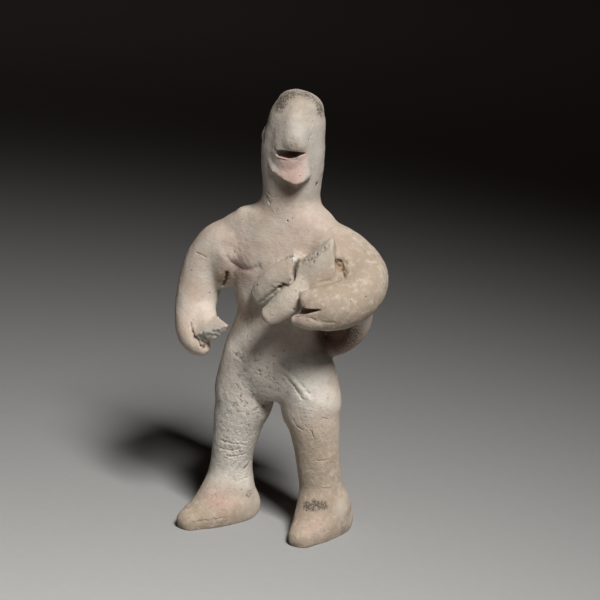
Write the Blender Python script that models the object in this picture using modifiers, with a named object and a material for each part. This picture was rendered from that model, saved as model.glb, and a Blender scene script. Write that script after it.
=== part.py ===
"""Standing man modelled by hand in clay and fired, as one closed solid.

The man faces -Y, his left side is +X and he stands on z = 0.  All stations
below are in hundredths of the figure's height, so HEIGHT alone sets the size.
"""

import math

import bmesh
import bpy
from mathutils import Vector

# Overall size in metres, and the unit that all the stations use.
HEIGHT = 0.150
UNIT = HEIGHT / 100.0

# Settings of the mesh: the voxels are in metres, and the domes are shares of a
# section's smaller half size.
RING_SIDES = 28
PATH_STEPS = 5
DOME_ANGLES = (25.0, 50.0, 72.0)
DOME_BLUNTNESS = 0.8
COARSE_VOXEL = 0.00080
COARSE_SMOOTHING = 14
SMOOTHING_STRENGTH = 0.5
FINE_VOXEL = 0.00050
FINE_SMOOTHING = 5
SOLE_MERGE = 0.16 * FINE_VOXEL
TRIANGLES = 9400
TOP_DOME = 0.66
FLAT_DOME = 0.5
FOOT_SQUARENESS = 2.5
CLAY_COLOUR = (0.56, 0.46, 0.38, 1.0)
CLAY_ROUGHNESS = 0.9

# Directions in which the half widths of the sections are measured.
SIDEWAYS = Vector((1.0, 0.0, 0.0))
UPWARDS = Vector((0.0, 0.0, 1.0))
FORWARDS = Vector((0.0, -1.0, 0.0))
RIGHT_TOE_ACROSS = Vector((0.84, -0.54, 0.0))
LEFT_TOE_ACROSS = Vector((0.96, -0.28, 0.0))
FACE_ACROSS = Vector((0.94, 0.34, 0.0))
LOBE_ACROSS = Vector((-0.6, 0.2, 0.75))
SLAB_ACROSS = Vector((0.92, 0.0, 0.38))

# The body.  A station is x, y, z, half width and half depth of an oval section.
TRUNK = (
    (0.1, 0.4, 34.0, 11.8, 6.4),
    (0.1, 0.4, 36.5, 13.0, 6.9),
    (0.0, 0.5, 40.0, 13.1, 7.1),
    (0.3, 0.9, 45.5, 11.1, 6.9),
    (0.7, 1.0, 50.0, 10.2, 6.7),
    (0.8, 1.0, 53.5, 11.3, 6.8),
    (1.2, 1.0, 57.0, 12.2, 6.9),
    (1.9, 1.0, 61.5, 13.1, 7.0),
    (2.2, 1.0, 66.5, 13.4, 6.6),
    (2.5, 1.3, 70.0, 13.2, 6.2),
    (2.8, 1.5, 72.6, 11.2, 6.0),
    (2.9, 1.5, 74.8, 7.5, 6.0),
    (3.0, 1.5, 77.0, 6.4, 6.1),
    (3.3, 1.3, 80.0, 6.5, 6.3),
    (3.6, 1.0, 84.5, 7.0, 6.6),
    (3.8, 1.0, 88.0, 7.0, 6.5),
    (4.4, 1.0, 92.0, 6.5, 6.2),
    (4.9, 1.1, 95.0, 6.2, 6.0),
    (5.4, 1.2, 97.0, 5.3, 5.2),
)
FACE = (
    (5.7, -0.8, 96.0, 4.0, 3.8),
    (5.6, -1.4, 93.4, 4.5, 4.4),
    (5.3, -1.8, 90.4, 4.8, 5.0),
    (5.1, -1.8, 86.6, 5.0, 5.0),
    (5.0, -1.5, 83.6, 4.8, 4.5),
)
NOSE = (
    (6.0, -2.6, 95.4, 2.6, 3.0),
    (6.4, -3.4, 93.2, 2.9, 3.3),
    (6.6, -4.0, 91.4, 3.0, 3.5),
    (6.8, -4.3, 89.4, 2.9, 3.3),
)
RIGHT_LEG = (
    (-6.6, 0.4, 39.0, 6.4, 6.4),
    (-8.0, 0.2, 32.0, 6.9, 6.4),
    (-8.3, 0.1, 28.0, 6.9, 6.2),
    (-9.5, 0.0, 24.0, 6.0, 5.9),
    (-10.9, 0.0, 17.5, 5.0, 5.2),
    (-11.5, 0.0, 13.5, 4.8, 5.1),
    (-11.9, 0.0, 9.3, 5.3, 5.5),
    (-11.5, -0.4, 6.0, 5.5, 5.6),
    (-11.3, -0.7, 3.5, 5.3, 5.2),
)
LEFT_LEG = (
    (6.8, 0.4, 39.0, 6.4, 6.4),
    (8.5, 0.2, 32.0, 6.9, 6.4),
    (8.5, 0.1, 28.4, 6.9, 6.1),
    (9.4, 0.0, 25.0, 5.9, 5.8),
    (9.9, 0.0, 20.5, 5.2, 5.3),
    (10.5, 0.0, 15.2, 4.9, 5.1),
    (11.2, 0.3, 10.0, 5.0, 5.2),
    (12.2, 0.6, 6.2, 5.5, 5.6),
    (12.4, 0.4, 3.5, 5.1, 5.2),
)
RIGHT_FOOT = (
    (-8.6, 1.2, 3.2, 3.2, 4.6),
    (-9.7, -0.7, 2.6, 4.7, 4.6),
    (-11.9, -3.5, 2.5, 5.2, 4.6),
    (-14.1, -6.7, 2.1, 5.1, 4.0),
    (-16.0, -9.6, 1.6, 4.2, 3.4),
    (-16.8, -11.5, 1.4, 3.2, 2.7),
)
LEFT_FOOT = (
    (13.7, 3.8, 3.2, 3.3, 4.6),
    (13.4, 2.0, 2.6, 4.4, 4.7),
    (12.4, -1.2, 2.6, 4.8, 4.8),
    (11.3, -4.8, 2.1, 4.7, 4.2),
    (10.7, -7.9, 1.6, 4.0, 3.3),
    (10.6, -9.6, 1.4, 3.2, 2.6),
)
RIGHT_INSTEP = (
    (-12.2, -1.4, 10.5, 4.4, 3.6),
    (-13.4, -3.8, 7.2, 4.2, 3.2),
    (-15.2, -7.2, 4.0, 3.8, 2.4),
)
LEFT_INSTEP = (
    (11.0, -1.2, 10.5, 4.4, 3.6),
    (10.9, -3.2, 7.2, 4.4, 3.2),
    (10.6, -6.2, 4.2, 4.0, 2.4),
)
RIGHT_ARM = (
    (-4.0, 1.8, 66.3, 4.3, 3.9),
    (-12.0, 0.9, 65.1, 5.7, 5.2),
    (-16.0, 0.4, 62.0, 5.5, 5.0),
    (-18.2, 0.0, 57.8, 5.4, 4.9),
    (-19.1, -0.6, 53.4, 5.3, 4.8),
    (-19.4, -1.8, 50.0, 4.9, 4.6),
    (-18.8, -3.6, 47.2, 4.5, 4.5),
    (-17.8, -5.6, 44.8, 4.0, 4.1),
    (-16.0, -7.4, 43.2, 3.2, 3.3),
    (-14.6, -8.2, 42.6, 2.2, 2.4),
)
SHOULDER_SLOPE = (
    (-2.0, 1.5, 72.2, 3.4, 2.6),
    (-7.5, 1.3, 70.6, 3.9, 2.7),
    (-12.5, 1.0, 67.5, 4.2, 2.8),
)
ARMPIT = (
    (-11.0, 0.0, 63.4, 5.4, 5.4),
    (-12.2, 0.2, 59.0, 4.3, 4.5),
    (-13.6, 0.3, 55.6, 2.2, 2.9),
)
CROOK = (
    (17.4, -4.0, 66.4, 2.2, 2.2),
    (18.8, -4.8, 64.4, 2.8, 2.5),
    (19.4, -5.8, 62.0, 3.0, 2.7),
)
SHELF = (
    (-17.0, -3.2, 49.0, 3.2, 3.2),
    (-14.6, -6.0, 47.2, 3.0, 2.2),
    (-12.4, -8.0, 46.6, 2.4, 1.5),
)
LEFT_ARM = (
    (8.0, 1.2, 68.0, 5.2, 5.2),
    (13.6, 0.9, 66.7, 5.3, 5.2),
    (18.5, 0.0, 64.8, 5.2, 5.1),
    (22.2, -2.0, 62.1, 5.2, 5.0),
    (23.0, -5.2, 59.6, 5.2, 5.0),
    (21.0, -8.6, 57.6, 5.3, 5.0),
    (17.8, -11.0, 56.7, 5.2, 4.4),
    (15.6, -12.0, 56.7, 4.8, 3.6),
)

# Features that stay crisper than the body: the same kind of stations.
EAR = (
    (-2.4, 3.0, 91.8, 1.0, 1.0),
    (-3.3, 3.0, 90.2, 1.6, 1.2),
    (-3.4, 3.0, 88.2, 1.6, 1.2),
    (-3.0, 3.0, 86.8, 1.0, 1.0),
)
REAR_LOBE = (
    (8.4, -6.8, 64.0, 2.9, 2.2),
    (5.0, -7.3, 61.2, 3.2, 2.2),
    (1.4, -7.3, 58.0, 3.1, 2.0),
    (-0.6, -7.1, 56.0, 2.4, 1.6),
)
FRONT_LOBE = (
    (12.2, -9.0, 60.8, 3.4, 2.0),
    (9.2, -11.2, 57.8, 3.1, 2.2),
    (6.0, -12.0, 55.0, 2.8, 2.0),
    (4.4, -12.4, 53.8, 2.3, 1.7),
)
HIND_PART = (
    (18.4, 2.6, 56.0, 3.0, 3.2),
    (18.8, 4.2, 51.6, 2.6, 3.0),
    (17.8, 5.0, 47.6, 2.3, 2.8),
    (15.0, 4.8, 44.2, 2.3, 2.6),
    (11.4, 3.2, 43.0, 2.6, 2.6),
)
HIND_WEB = (
    (13.0, 4.6, 54.0, 4.2, 2.2),
    (13.4, 4.8, 50.0, 4.2, 2.4),
    (13.0, 4.4, 46.0, 3.2, 2.4),
)
FINGERS = (
    (17.6, -12.4, 54.8, 2.6, 2.6),
    (14.2, -13.8, 54.2, 2.1, 1.9),
    (11.4, -13.8, 53.9, 1.2, 1.2),
)
THUMB = (
    (17.4, -12.0, 58.8, 2.6, 2.2),
    (15.0, -12.9, 58.7, 2.3, 1.9),
    (13.8, -13.2, 58.6, 2.1, 1.8),
)
HELD_CORE = (
    (14.6, -5.4, 65.6, 2.6, 2.0),
    (13.0, -6.8, 62.4, 4.0, 2.9),
    (12.0, -8.6, 59.2, 3.6, 3.0),
)

# Corners of the features that have flat faces and edges.
CHIN = (
    (3.2, -5.4, 87.6),
    (9.4, -4.2, 88.4),
    (0.4, -4.8, 86.4),
    (-0.2, -4.4, 84.6),
    (1.8, -6.3, 84.1),
    (5.1, -7.1, 82.6),
    (8.0, -7.1, 81.7),
    (9.4, -6.0, 82.2),
    (10.1, -4.6, 83.6),
    (2.6, -3.0, 83.0),
    (10.2, -3.0, 83.0),
    (6.2, -3.2, 80.0),
)
SLAB = (
    (-18.0, -6.0, 47.7),
    (-11.7, -6.0, 49.8),
    (-6.7, -10.2, 49.4),
    (-11.1, -11.0, 47.6),
    (-15.4, -10.2, 45.8),
    (-7.6, -9.6, 47.3),
    (-10.6, -9.8, 44.9),
    (-14.8, -9.2, 43.6),
    (-12.5, -5.5, 46.8),
)
WING = (
    (8.2, -7.2, 64.4),
    (9.5, -7.2, 65.5),
    (13.5, -7.0, 68.6),
    (16.0, -6.4, 71.0),
    (16.8, -6.2, 70.8),
    (8.3, -9.2, 62.7),
    (10.6, -9.6, 64.0),
    (14.3, -9.6, 66.4),
    (17.3, -8.4, 68.8),
    (17.9, -8.4, 66.4),
    (18.4, -9.2, 62.7),
    (15.0, -10.8, 61.3),
    (11.1, -11.4, 59.4),
    (8.3, -10.2, 60.0),
    (9.0, -5.0, 63.0),
    (16.4, -4.6, 69.4),
    (18.0, -5.0, 62.7),
)

# Cuts: the mouth slot and the gap between thumb and fingers.
MOUTH = (
    (3.2, -6.8, 88.2, 0.7, 2.4),
    (4.8, -7.2, 88.2, 0.9, 3.2),
    (6.6, -7.2, 88.1, 1.0, 3.4),
    (8.4, -6.9, 88.2, 0.7, 3.0),
    (10.0, -6.0, 88.4, 0.2, 2.2),
)
FINGER_GAP = (
    (10.6, -15.0, 55.7, 0.9, 2.4),
    (13.0, -15.0, 56.3, 0.85, 2.4),
    (15.4, -14.8, 56.9, 0.6, 2.1),
    (17.6, -14.4, 57.4, 0.2, 1.5),
)


def spline_value(before, start, end, after, share):
    """Value at a share of the way from start to end on a smooth curve."""
    slope_start = (end - before) / 2.0
    slope_end = (after - start) / 2.0
    cube = share ** 3
    square = share ** 2
    return (
        (2.0 * cube - 3.0 * square + 1.0) * start
        + (cube - 2.0 * square + share) * slope_start
        + (3.0 * square - 2.0 * cube) * end
        + (cube - square) * slope_end
    )


def smooth_rows(stations):
    """Rows on a smooth curve through the stations, both ends included."""
    padded = [stations[0], *stations, stations[-1]]
    rows = []
    for index in range(1, len(padded) - 2):
        window = padded[index - 1:index + 3]
        for step in range(PATH_STEPS):
            share = step / PATH_STEPS
            rows.append([spline_value(*values, share) for values in zip(*window)])
    rows.append(list(stations[-1]))
    return rows


def loft(stations, across, dome=1.0, squareness=2.0):
    """Closed skin of oval rings along the stations, with a dome at each end.

    across is the direction in which the half widths are measured.  The dome
    is a share of the end's smaller half size, and a squareness over 2 makes
    the ovals boxy.
    """
    rows = smooth_rows(stations)
    centres = [Vector(row[:3]) for row in rows]
    last = len(rows) - 1
    rings = []
    for index, row in enumerate(rows):
        ahead = centres[min(index + 1, last)]
        behind = centres[max(index - 1, 0)]
        along = (ahead - behind).normalized()
        side = (across - across.dot(along) * along).normalized()
        lift = along.cross(side)
        rings.append((centres[index], along, side * row[3], lift * row[4]))
    first_ring = rings[0]
    last_ring = rings[-1]
    start_depth = dome * min(first_ring[2].length, first_ring[3].length)
    end_depth = dome * min(last_ring[2].length, last_ring[3].length)
    start_rings = [domed(first_ring, -start_depth, angle) for angle in reversed(DOME_ANGLES)]
    end_rings = [domed(last_ring, end_depth, angle) for angle in DOME_ANGLES]
    all_rings = start_rings + rings + end_rings
    points = []
    for centre, along, side, lift in all_rings:
        for step in range(RING_SIDES):
            turn = 2.0 * math.pi * step / RING_SIDES
            sideways = rounded(math.cos(turn), squareness)
            upwards = rounded(math.sin(turn), squareness)
            points.append(centre + side * sideways + lift * upwards)
    faces = []
    for ring in range(len(all_rings) - 1):
        low = ring * RING_SIDES
        high = low + RING_SIDES
        for step in range(RING_SIDES):
            following = (step + 1) % RING_SIDES
            faces.append((low + step, low + following, high + following, high + step))
    start_tip = len(points)
    points.append(first_ring[0] - first_ring[1] * start_depth)
    points.append(last_ring[0] + last_ring[1] * end_depth)
    top = (len(all_rings) - 1) * RING_SIDES
    for step in range(RING_SIDES):
        following = (step + 1) % RING_SIDES
        faces.append((start_tip, following, step))
        faces.append((start_tip + 1, top + step, top + following))
    return points, faces


def rounded(value, squareness):
    """Circle coordinate pushed outwards to make an oval boxy."""
    return math.copysign(abs(value) ** (2.0 / squareness), value)


def hull(corners):
    """Closed skin stretched over corner points."""
    shape = bmesh.new()
    for corner in corners:
        shape.verts.new(corner)
    made = bmesh.ops.convex_hull(shape, input=shape.verts)
    loose = [item for item in made["geom_unused"] if isinstance(item, bmesh.types.BMVert)]
    bmesh.ops.delete(shape, geom=loose, context="VERTS")
    shape.verts.index_update()
    points = [vertex.co.copy() for vertex in shape.verts]
    faces = [tuple(vertex.index for vertex in face.verts) for face in shape.faces]
    shape.free()
    return points, faces


def domed(ring, depth, angle):
    """Ring moved out and shrunk as on a round end, at an angle in degrees."""
    centre, along, side, lift = ring
    turn = math.radians(angle)
    moved = centre + along * depth * math.sin(turn)
    shrunk = math.cos(turn) ** DOME_BLUNTNESS
    return moved, along, side * shrunk, lift * shrunk


def make_object(name, pieces, collection):
    """One object from several closed skins, scaled from stations to metres."""
    points = []
    faces = []
    for piece_points, piece_faces in pieces:
        offset = len(points)
        points.extend(point * UNIT for point in piece_points)
        faces.extend(tuple(offset + corner for corner in face) for face in piece_faces)
    mesh = bpy.data.meshes.new(name)
    mesh.from_pydata(points, [], faces)
    mesh.update()
    made = bpy.data.objects.new(name, mesh)
    collection.objects.link(made)
    return made


def fuse(target, voxel, smoothing):
    """Add the modifiers that weld overlapping skins and soften their joins."""
    weld = target.modifiers.new("weld", "REMESH")
    weld.mode = "VOXEL"
    weld.voxel_size = voxel
    soften = target.modifiers.new("soften", "SMOOTH")
    soften.factor = SMOOTHING_STRENGTH
    soften.iterations = smoothing


def bake(target):
    """Replace the object's mesh by what its modifiers make of it."""
    graph = bpy.context.evaluated_depsgraph_get()
    mesh = bpy.data.meshes.new_from_object(target.evaluated_get(graph))
    target.modifiers.clear()
    target.data = mesh


def skin_of(target):
    """Points, in station units, and faces of an object's mesh."""
    points = [vertex.co / UNIT for vertex in target.data.vertices]
    faces = [tuple(face.vertices) for face in target.data.polygons]
    return points, faces


def triangle_count(target):
    """Number of triangles in an object's mesh."""
    return sum(len(face.vertices) - 2 for face in target.data.polygons)


def flatten_soles(target):
    """Cut both feet off flat at z = 0 and close the cuts."""
    shape = bmesh.new()
    shape.from_mesh(target.data)
    everything = list(shape.verts) + list(shape.edges) + list(shape.faces)
    bmesh.ops.bisect_plane(
        shape,
        geom=everything,
        dist=SOLE_MERGE,
        plane_co=(0.0, 0.0, 0.0),
        plane_no=(0.0, 0.0, 1.0),
        clear_inner=True,
    )
    rim_points = [point for point in shape.verts if point.is_boundary]
    bmesh.ops.remove_doubles(shape, verts=rim_points, dist=SOLE_MERGE)
    rim = [edge for edge in shape.edges if edge.is_boundary]
    bmesh.ops.holes_fill(shape, edges=rim)
    bmesh.ops.triangulate(shape, faces=list(shape.faces))
    bmesh.ops.recalc_face_normals(shape, faces=list(shape.faces))
    shape.to_mesh(target.data)
    shape.free()


def stand_on_origin(target):
    """Scale to HEIGHT and centre the figure's box over the origin."""
    spots = [vertex.co for vertex in target.data.vertices]
    scale = HEIGHT / max(spot.z for spot in spots)
    middle_x = (min(spot.x for spot in spots) + max(spot.x for spot in spots)) / 2.0
    middle_y = (min(spot.y for spot in spots) + max(spot.y for spot in spots)) / 2.0
    for spot in spots:
        spot.x = (spot.x - middle_x) * scale
        spot.y = (spot.y - middle_y) * scale
        spot.z = max(spot.z, 0.0) * scale
    target.data.update()


for old in list(bpy.data.objects):
    bpy.data.objects.remove(old)

parts = bpy.data.collections.new("male_figurine")
bpy.context.scene.collection.children.link(parts)
cutters = bpy.data.collections.new("cutters")
bpy.context.scene.collection.children.link(cutters)

body = make_object(
    "figurine",
    (
        loft(TRUNK, SIDEWAYS, dome=TOP_DOME),
        loft(FACE, FACE_ACROSS, dome=FLAT_DOME),
        loft(NOSE, FACE_ACROSS, dome=FLAT_DOME),
        loft(RIGHT_LEG, SIDEWAYS),
        loft(LEFT_LEG, SIDEWAYS),
        loft(RIGHT_FOOT, RIGHT_TOE_ACROSS, squareness=FOOT_SQUARENESS),
        loft(LEFT_FOOT, LEFT_TOE_ACROSS, squareness=FOOT_SQUARENESS),
        loft(RIGHT_INSTEP, RIGHT_TOE_ACROSS, dome=FLAT_DOME),
        loft(LEFT_INSTEP, LEFT_TOE_ACROSS, dome=FLAT_DOME),
        loft(RIGHT_ARM, FORWARDS),
        loft(SHOULDER_SLOPE, FORWARDS),
        loft(ARMPIT, SIDEWAYS, dome=FLAT_DOME),
        loft(LEFT_ARM, UPWARDS),
        loft(CROOK, SIDEWAYS),
        loft(SHELF, SLAB_ACROSS),
    ),
    parts,
)
fuse(body, COARSE_VOXEL, COARSE_SMOOTHING)
bake(body)

detailed = make_object(
    "figurine_detailed",
    (
        skin_of(body),
        hull(CHIN),
        loft(EAR, FORWARDS),
        loft(REAR_LOBE, LOBE_ACROSS),
        loft(FRONT_LOBE, LOBE_ACROSS),
        loft(HELD_CORE, FACE_ACROSS),
        hull(WING),
        hull(SLAB),
        loft(HIND_PART, SIDEWAYS),
        loft(HIND_WEB, SIDEWAYS),
        loft(FINGERS, UPWARDS),
        loft(THUMB, UPWARDS),
    ),
    parts,
)
fuse(detailed, FINE_VOXEL, FINE_SMOOTHING)
for name, stations in (("mouth", MOUTH), ("finger_gap", FINGER_GAP)):
    cutter = make_object(name + "_cutter", (loft(stations, UPWARDS, dome=FLAT_DOME),), cutters)
    cut = detailed.modifiers.new(name, "BOOLEAN")
    cut.operation = "DIFFERENCE"
    cut.solver = "EXACT"
    cut.object = cutter
bake(detailed)
body.data = detailed.data
bpy.data.objects.remove(detailed)
for cutter in list(cutters.objects):
    bpy.data.objects.remove(cutter)
bpy.data.collections.remove(cutters)

thinner = body.modifiers.new("fewer_triangles", "DECIMATE")
thinner.ratio = TRIANGLES / triangle_count(body)
bake(body)
flatten_soles(body)
stand_on_origin(body)

clay = bpy.data.materials.new("fired_clay")
clay.use_nodes = True
surface = clay.node_tree.nodes["Principled BSDF"]
surface.inputs["Base Color"].default_value = CLAY_COLOUR
surface.inputs["Roughness"].default_value = CLAY_ROUGHNESS
body.data.materials.clear()
body.data.materials.append(clay)
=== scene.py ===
"""Looks of the fired clay man: worn relief, mottled clay, pale floor, soft light and camera.

The man faces -Y and his left side is +X.  His shape is built again from the
same stations as the solid, finely enough to carry cracks and chips.
"""

import math

import bmesh
import bpy
import numpy as np
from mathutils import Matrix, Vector, noise
from mathutils.bvhtree import BVHTree


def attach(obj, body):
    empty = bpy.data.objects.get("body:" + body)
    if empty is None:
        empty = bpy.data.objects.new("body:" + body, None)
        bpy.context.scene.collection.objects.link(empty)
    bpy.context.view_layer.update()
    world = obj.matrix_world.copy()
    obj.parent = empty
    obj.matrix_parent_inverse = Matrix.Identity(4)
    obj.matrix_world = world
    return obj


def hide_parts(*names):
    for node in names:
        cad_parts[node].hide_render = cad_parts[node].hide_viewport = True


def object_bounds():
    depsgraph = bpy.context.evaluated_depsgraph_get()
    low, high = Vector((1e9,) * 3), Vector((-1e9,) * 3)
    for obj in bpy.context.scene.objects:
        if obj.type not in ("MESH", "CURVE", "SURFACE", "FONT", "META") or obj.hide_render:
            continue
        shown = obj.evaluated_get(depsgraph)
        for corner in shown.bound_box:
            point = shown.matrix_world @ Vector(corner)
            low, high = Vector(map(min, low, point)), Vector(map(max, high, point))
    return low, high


# Overall size in metres, and the unit that all the stations use.
HEIGHT = 0.150
UNIT = HEIGHT / 100.0
MILLIMETRE = 0.001

# Settings of the mesh: the voxels and the sole merge are in metres, and the
# domes are shares of a section's smaller half size.
RING_SIDES = 40
PATH_STEPS = 6
DOME_ANGLES = (15.0, 30.0, 45.0, 60.0, 75.0)
DOME_BLUNTNESS = 0.8
COARSE_VOXEL = 0.00080
COARSE_SMOOTHING = 14
SMOOTHING_STRENGTH = 0.5
FINE_VOXEL = 0.00050
FINE_SMOOTHING = 3
TOP_DOME = 0.66
FLAT_DOME = 0.5
FOOT_SQUARENESS = 2.5
SOLE_MERGE = 0.00008

# Directions in which the half widths of the sections are measured.
SIDEWAYS = Vector((1.0, 0.0, 0.0))
UPWARDS = Vector((0.0, 0.0, 1.0))
FORWARDS = Vector((0.0, -1.0, 0.0))
RIGHT_TOE_ACROSS = Vector((0.84, -0.54, 0.0))
LEFT_TOE_ACROSS = Vector((0.96, -0.28, 0.0))
FACE_ACROSS = Vector((0.94, 0.34, 0.0))
LOBE_ACROSS = Vector((-0.6, 0.2, 0.75))
SLAB_ACROSS = Vector((0.92, 0.0, 0.38))

# The body.  A station is x, y, z, half width and half depth of an oval section.
TRUNK = (
    (0.1, 0.4, 34.0, 11.8, 6.4),
    (0.1, 0.4, 36.5, 13.0, 6.9),
    (0.0, 0.5, 40.0, 13.1, 7.1),
    (0.3, 0.9, 45.5, 11.1, 6.9),
    (0.7, 1.0, 50.0, 10.2, 6.7),
    (0.8, 1.0, 53.5, 11.3, 6.8),
    (1.2, 1.0, 57.0, 12.2, 6.9),
    (1.9, 1.0, 61.5, 13.1, 7.0),
    (2.2, 1.0, 66.5, 13.4, 6.6),
    (2.5, 1.3, 70.0, 13.2, 6.2),
    (2.8, 1.5, 72.6, 11.2, 6.0),
    (2.9, 1.5, 74.8, 7.5, 6.0),
    (3.0, 1.5, 77.0, 6.4, 6.1),
    (3.3, 1.3, 80.0, 6.5, 6.3),
    (3.6, 1.0, 84.5, 7.0, 6.6),
    (3.8, 1.0, 88.0, 7.0, 6.5),
    (4.4, 1.0, 92.0, 6.5, 6.2),
    (4.9, 1.1, 95.0, 6.2, 6.0),
    (5.4, 1.2, 97.0, 5.3, 5.2),
)
FACE = (
    (5.7, -0.8, 96.0, 4.0, 3.8),
    (5.6, -1.4, 93.4, 4.5, 4.4),
    (5.3, -1.8, 90.4, 4.8, 5.0),
    (5.1, -1.8, 86.6, 5.0, 5.0),
    (5.0, -1.5, 83.6, 4.8, 4.5),
)
NOSE = (
    (6.0, -2.6, 95.4, 2.6, 3.0),
    (6.4, -3.4, 93.2, 2.9, 3.3),
    (6.6, -4.0, 91.4, 3.0, 3.5),
    (6.8, -4.3, 89.4, 2.9, 3.3),
)
RIGHT_LEG = (
    (-6.6, 0.4, 39.0, 6.4, 6.4),
    (-8.0, 0.2, 32.0, 6.9, 6.4),
    (-8.3, 0.1, 28.0, 6.9, 6.2),
    (-9.5, 0.0, 24.0, 6.0, 5.9),
    (-10.9, 0.0, 17.5, 5.0, 5.2),
    (-11.5, 0.0, 13.5, 4.8, 5.1),
    (-11.9, 0.0, 9.3, 5.3, 5.5),
    (-11.5, -0.4, 6.0, 5.5, 5.6),
    (-11.3, -0.7, 3.5, 5.3, 5.2),
)
LEFT_LEG = (
    (6.8, 0.4, 39.0, 6.4, 6.4),
    (8.5, 0.2, 32.0, 6.9, 6.4),
    (8.5, 0.1, 28.4, 6.9, 6.1),
    (9.4, 0.0, 25.0, 5.9, 5.8),
    (9.9, 0.0, 20.5, 5.2, 5.3),
    (10.5, 0.0, 15.2, 4.9, 5.1),
    (11.2, 0.3, 10.0, 5.0, 5.2),
    (12.2, 0.6, 6.2, 5.5, 5.6),
    (12.4, 0.4, 3.5, 5.1, 5.2),
)
RIGHT_FOOT = (
    (-8.6, 1.2, 3.2, 3.2, 4.6),
    (-9.7, -0.7, 2.6, 4.7, 4.6),
    (-11.9, -3.5, 2.5, 5.2, 4.6),
    (-14.1, -6.7, 2.1, 5.1, 4.0),
    (-16.0, -9.6, 1.6, 4.2, 3.4),
    (-16.8, -11.5, 1.4, 3.2, 2.7),
)
LEFT_FOOT = (
    (13.7, 3.8, 3.2, 3.3, 4.6),
    (13.4, 2.0, 2.6, 4.4, 4.7),
    (12.4, -1.2, 2.6, 4.8, 4.8),
    (11.3, -4.8, 2.1, 4.7, 4.2),
    (10.7, -7.9, 1.6, 4.0, 3.3),
    (10.6, -9.6, 1.4, 3.2, 2.6),
)
RIGHT_INSTEP = (
    (-12.2, -1.4, 10.5, 4.4, 3.6),
    (-13.4, -3.8, 7.2, 4.2, 3.2),
    (-15.2, -7.2, 4.0, 3.8, 2.4),
)
LEFT_INSTEP = (
    (11.0, -1.2, 10.5, 4.4, 3.6),
    (10.9, -3.2, 7.2, 4.4, 3.2),
    (10.6, -6.2, 4.2, 4.0, 2.4),
)
RIGHT_ARM = (
    (-4.0, 1.8, 66.3, 4.3, 3.9),
    (-12.0, 0.9, 65.1, 5.7, 5.2),
    (-16.0, 0.4, 62.0, 5.5, 5.0),
    (-18.2, 0.0, 57.8, 5.4, 4.9),
    (-19.1, -0.6, 53.4, 5.3, 4.8),
    (-19.4, -1.8, 50.0, 4.9, 4.6),
    (-18.8, -3.6, 47.2, 4.5, 4.5),
    (-17.8, -5.6, 44.8, 4.0, 4.1),
    (-16.0, -7.4, 43.2, 3.2, 3.3),
    (-14.6, -8.2, 42.6, 2.2, 2.4),
)
SHOULDER_SLOPE = (
    (-2.0, 1.5, 72.2, 3.4, 2.6),
    (-7.5, 1.3, 70.6, 3.9, 2.7),
    (-12.5, 1.0, 67.5, 4.2, 2.8),
)
ARMPIT = (
    (-11.0, 0.0, 63.4, 5.4, 5.4),
    (-12.2, 0.2, 59.0, 4.3, 4.5),
    (-13.6, 0.3, 55.6, 2.2, 2.9),
)
CROOK = (
    (17.4, -4.0, 66.4, 2.2, 2.2),
    (18.8, -4.8, 64.4, 2.8, 2.5),
    (19.4, -5.8, 62.0, 3.0, 2.7),
)
SHELF = (
    (-17.0, -3.2, 49.0, 3.2, 3.2),
    (-14.6, -6.0, 47.2, 3.0, 2.2),
    (-12.4, -8.0, 46.6, 2.4, 1.5),
)
LEFT_ARM = (
    (8.0, 1.2, 68.0, 5.2, 5.2),
    (13.6, 0.9, 66.7, 5.3, 5.2),
    (18.5, 0.0, 64.8, 5.2, 5.1),
    (22.2, -2.0, 62.1, 5.2, 5.0),
    (23.0, -5.2, 59.6, 5.2, 5.0),
    (21.0, -8.6, 57.6, 5.3, 5.0),
    (17.8, -11.0, 56.7, 5.2, 4.4),
    (15.6, -12.0, 56.7, 4.8, 3.6),
)

# Features that stay crisper than the body: the same kind of stations.
EAR = (
    (-2.4, 3.0, 91.8, 1.0, 1.0),
    (-3.3, 3.0, 90.2, 1.6, 1.2),
    (-3.4, 3.0, 88.2, 1.6, 1.2),
    (-3.0, 3.0, 86.8, 1.0, 1.0),
)
REAR_LOBE = (
    (8.4, -6.8, 64.0, 2.9, 2.2),
    (5.0, -7.3, 61.2, 3.2, 2.2),
    (1.4, -7.3, 58.0, 3.1, 2.0),
    (-0.6, -7.1, 56.0, 2.4, 1.6),
)
FRONT_LOBE = (
    (12.2, -9.0, 60.8, 3.4, 2.0),
    (9.2, -11.2, 57.8, 3.1, 2.2),
    (6.0, -12.0, 55.0, 2.8, 2.0),
    (4.4, -12.4, 53.8, 2.3, 1.7),
)
HIND_PART = (
    (18.4, 2.6, 56.0, 3.0, 3.2),
    (18.8, 4.2, 51.6, 2.6, 3.0),
    (17.8, 5.0, 47.6, 2.3, 2.8),
    (15.0, 4.8, 44.2, 2.3, 2.6),
    (11.4, 3.2, 43.0, 2.6, 2.6),
)
HIND_WEB = (
    (13.0, 4.6, 54.0, 4.2, 2.2),
    (13.4, 4.8, 50.0, 4.2, 2.4),
    (13.0, 4.4, 46.0, 3.2, 2.4),
)
FINGERS = (
    (17.6, -12.4, 54.8, 2.6, 2.6),
    (14.2, -13.8, 54.2, 2.1, 1.9),
    (11.4, -13.8, 53.9, 1.2, 1.2),
)
THUMB = (
    (17.4, -12.0, 58.8, 2.6, 2.2),
    (15.0, -12.9, 58.7, 2.3, 1.9),
    (13.8, -13.2, 58.6, 2.1, 1.8),
)
HELD_CORE = (
    (14.6, -5.4, 65.6, 2.6, 2.0),
    (13.0, -6.8, 62.4, 4.0, 2.9),
    (12.0, -8.6, 59.2, 3.6, 3.0),
)

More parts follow.
